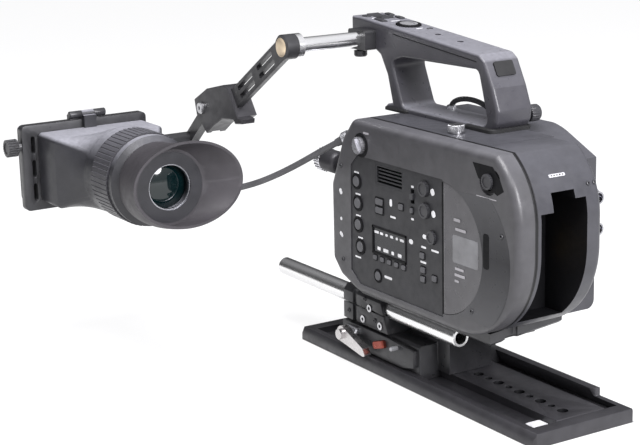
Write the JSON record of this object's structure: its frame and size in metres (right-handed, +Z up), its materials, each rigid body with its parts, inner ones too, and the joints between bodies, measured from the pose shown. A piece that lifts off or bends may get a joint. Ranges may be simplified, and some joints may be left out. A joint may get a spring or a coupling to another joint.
{
  "type": "cinema camera rig",
  "caption": "Cinema camera body on a sliding dovetail base with support rods, a top handle and an eyepiece monitor on a folding arm.",
  "frame": {"origin": "centre of the dovetail plate's underside", "axes": "+Y the way the lens looks, +X the camera's right, +Z up"},
  "size_m": [0.319, 0.417, 0.2734],
  "materials": {
    "shell_paint": "fine matt paint",
    "side_cover": "satin moulded",
    "panel_black": "matt",
    "door_smoke": "smoked satin",
    "window_clear": "tinted clear",
    "display_glass": "gloss",
    "button_rubber": "moulded rubber",
    "button_red": "gloss",
    "dial_black": "matt with ribbed rim",
    "dial_silver": "machined",
    "handle_plastic": "grained",
    "pad_rubber": "matt",
    "anodised_black": "black anodised",
    "anodised_grey": "dark anodised, satin",
    "rod_steel": "polished",
    "screw_steel": "machined",
    "lever_metal": "anodised red and bare",
    "rosette_brass": "satin",
    "mount_metal": "turned",
    "circuit": "solder mask",
    "sensor_dark": "black",
    "contact_gold": "plated",
    "connector_metal": "plated",
    "cable_rubber": "matt",
    "finder_plastic": "fine grained",
    "ring_rubber": "ribbed",
    "eyecup_rubber": "soft matt",
    "lens_glass": "coated",
    "screen_glass": "gloss"
  },
  "bodies": {
    "base_plate": {"dovetail_plate": "anodised_grey"},
    "camera": {"base_carriage": "anodised_black", "rod_bracket": "anodised_black", "socket_screws": "screw_steel", "rod_left": "rod_steel", "rod_right": "rod_steel", "camera_foot_plate": "anodised_black", "left_cover": "side_cover", "control_panel": "panel_black", "vent_grille": "panel_black", "status_display": "display_glass", "card_slots": "dial_black", "body_casing": "shell_paint", "main_board": "circuit", "sensor_block": "sensor_dark", "lens_mount_ring": "mount_metal", "rear_housing": "shell_paint", "battery_contacts": "contact_gold", "xlr_connectors": "connector_metal", "bnc_connectors": "connector_metal", "handle": "handle_plastic", "handle_pad": "pad_rubber", "finder_clamp": "anodised_black", "monitor_cable": "cable_rubber", "cable_plug": "cable_rubber"},
    "rod": {"finder_rod": "rod_steel"},
    "arm": {"slotted_arm": "anodised_black", "rosette_cap": "rosette_brass", "elbow_block": "anodised_grey", "elbow_screw": "screw_steel"},
    "lower_arm": {"lower_bar": "anodised_black"},
    "finder": {"monitor": "finder_plastic", "monitor_screen": "screen_glass", "finder_frame": "anodised_black"},
    "loupe": {"finder_box": "finder_plastic", "loupe_barrel": "finder_plastic", "eyepiece_lens": "lens_glass", "eyecup": "eyecup_rubber"},
    "door": {"media_door": "door_smoke", "door_window": "window_clear"},
    "lock_lever": {"carriage_lock_lever": "lever_metal"},
    "assign_button_1": {"assign_button_1": "button_rubber"},
    "assign_button_2": {"assign_button_2": "button_rubber"},
    "assign_button_3": {"assign_button_3": "button_rubber"},
    "assign_button_4": {"assign_button_4": "button_rubber"},
    "menu_button": {"menu_button": "button_rubber"},
    "audio_dial_1": {"audio_dial_1": "dial_black"},
    "audio_dial_2": {"audio_dial_2": "dial_black"},
    "jog_dial": {"jog_dial": "dial_black"},
    "gain_switch": {"gain_switch": "dial_black"},
    "nd_dial": {"nd_dial": "dial_silver"},
    "filter_wheel": {"nd_filter_wheel": "sensor_dark"},
    "rear_knob": {"rear_knob": "dial_black"},
    "lens_lever": {"lens_lock_lever": "anodised_grey"},
    "record_button": {"record_button": "button_red"},
    "zoom_rocker": {"zoom_rocker": "dial_black"},
    "handle_screw": {"handle_thumb_screw": "screw_steel"},
    "clamp_knob": {"clamp_knob": "anodised_black"},
    "frame_knob": {"frame_knob": "anodised_black"},
    "focus_ring": {"focus_ring": "ring_rubber"}
  },
  "joints": [
    {"name": "carriage_slide", "type": "slide", "parent": "base_plate", "child": "camera", "axis": [0, 1, 0], "range_m": [-0.05, 0.044]},
    {"name": "lock_lever_turn", "type": "hinge", "parent": "camera", "child": "lock_lever", "pos_m": [-0.0475, 0.084, 0.023], "axis": [-1, 0, 0], "range_deg": [0, 70]},
    {"name": "assign_button_1_press", "type": "slide", "parent": "camera", "child": "assign_button_1", "axis": [1, 0, 0], "range_m": [0, 0.0008], "stiffness_N_per_m": 120},
    {"name": "assign_button_2_press", "type": "slide", "parent": "camera", "child": "assign_button_2", "axis": [1, 0, 0], "range_m": [0, 0.0008], "stiffness_N_per_m": 120},
    {"name": "assign_button_3_press", "type": "slide", "parent": "camera", "child": "assign_button_3", "axis": [1, 0, 0], "range_m": [0, 0.0008], "stiffness_N_per_m": 120},
    {"name": "assign_button_4_press", "type": "slide", "parent": "camera", "child": "assign_button_4", "axis": [1, 0, 0], "range_m": [0, 0.0008], "stiffness_N_per_m": 120},
    {"name": "menu_button_press", "type": "slide", "parent": "camera", "child": "menu_button", "axis": [1, 0, 0], "range_m": [0, 0.0008], "stiffness_N_per_m": 120},
    {"name": "audio_dial_1_turn", "type": "hinge", "parent": "camera", "child": "audio_dial_1", "pos_m": [-0.06, -0.047, 0.1668], "axis": [1, 0, 0], "range_deg": [-135, 135]},
    {"name": "audio_dial_2_turn", "type": "hinge", "parent": "camera", "child": "audio_dial_2", "pos_m": [-0.06, -0.048, 0.151], "axis": [1, 0, 0], "range_deg": [-135, 135]},
    {"name": "jog_dial_turn", "type": "hinge", "parent": "camera", "child": "jog_dial", "pos_m": [-0.06, -0.056, 0.1328], "axis": [1, 0, 0], "continuous": true},
    {"name": "gain_switch_slide", "type": "slide", "parent": "camera", "child": "gain_switch", "axis": [0, 0, 1], "range_m": [-0.0025, 0.0025]},
    {"name": "nd_dial_turn", "type": "hinge", "parent": "camera", "child": "nd_dial", "pos_m": [-0.062, 0.0334, 0.186], "axis": [1, 0, 0], "range_deg": [0, 270]},
    {"name": "filter_wheel_turn", "type": "hinge", "parent": "camera", "child": "filter_wheel", "pos_m": [0, 0.062, 0.116], "axis": [0, 1, 0], "range_deg": [0, 270]},
    {"name": "rear_knob_turn", "type": "hinge", "parent": "camera", "child": "rear_knob", "pos_m": [-0.06, -0.121, 0.185], "axis": [1, 0, 0], "range_deg": [0, 90]},
    {"name": "media_door_swing", "type": "hinge", "parent": "camera", "child": "door", "pos_m": [-0.0604, -0.0715, 0.128], "axis": [0, 0, -1], "range_deg": [0, 100]},
    {"name": "lens_lever_turn", "type": "hinge", "parent": "camera", "child": "lens_lever", "pos_m": [0, 0.098, 0.135], "axis": [0, 1, 0], "range_deg": [0, 50]},
    {"name": "record_button_press", "type": "slide", "parent": "camera", "child": "record_button", "axis": [0, 0.0905, -0.9959], "range_m": [0, 0.0015], "stiffness_N_per_m": 200},
    {"name": "zoom_rocker_tilt", "type": "hinge", "parent": "camera", "child": "zoom_rocker", "pos_m": [0, 0.097, 0.27], "axis": [1, 0, 0], "range_deg": [-5, 5], "stiffness_Nm_per_rad": 0.05},
    {"name": "handle_screw_turn", "type": "hinge", "parent": "camera", "child": "handle_screw", "pos_m": [-0.034, -0.048, 0.208], "axis": [0, 0, 1], "continuous": true},
    {"name": "clamp_knob_turn", "type": "hinge", "parent": "camera", "child": "clamp_knob", "pos_m": [-0.0195, 0.096, 0.2455], "axis": [0, 0, 1], "continuous": true},
    {"name": "finder_rod_slide", "type": "slide", "parent": "camera", "child": "rod", "axis": [-1, 0, 0], "range_m": [-0.02, 0.04], "deforming": ["monitor_cable"]},
    {"name": "arm_turn", "type": "hinge", "parent": "rod", "child": "arm", "pos_m": [-0.0895, 0.091, 0.2564], "axis": [1, 0, 0], "range_deg": [-40, 60], "deforming": ["monitor_cable"]},
    {"name": "elbow_turn", "type": "hinge", "parent": "arm", "child": "lower_arm", "pos_m": [-0.089, 0.217, 0.1935], "axis": [1, 0, 0], "range_deg": [-45, 60], "deforming": ["monitor_cable"]},
    {"name": "finder_tilt", "type": "hinge", "parent": "lower_arm", "child": "finder", "pos_m": [-0.13, 0.256, 0.16], "axis": [1, 0, 0], "range_deg": [-45, 45], "deforming": ["monitor_cable"]},
    {"name": "frame_knob_turn", "type": "hinge", "parent": "finder", "child": "frame_knob", "pos_m": [-0.258, 0.239, 0.176], "axis": [1, 0, 0], "continuous": true},
    {"name": "loupe_flip", "type": "hinge", "parent": "finder", "child": "loupe", "pos_m": [-0.19, 0.2365, 0.197], "axis": [-1, 0, 0], "range_deg": [0, 100]},
    {"name": "focus_ring_turn", "type": "hinge", "parent": "loupe", "child": "focus_ring", "pos_m": [-0.19, 0.146, 0.16], "axis": [0, 1, 0], "range_deg": [-60, 60]}
  ],
  "couplings": [
    {"joint": "filter_wheel_turn", "follows": "nd_dial_turn", "ratio": 1}
  ]
}
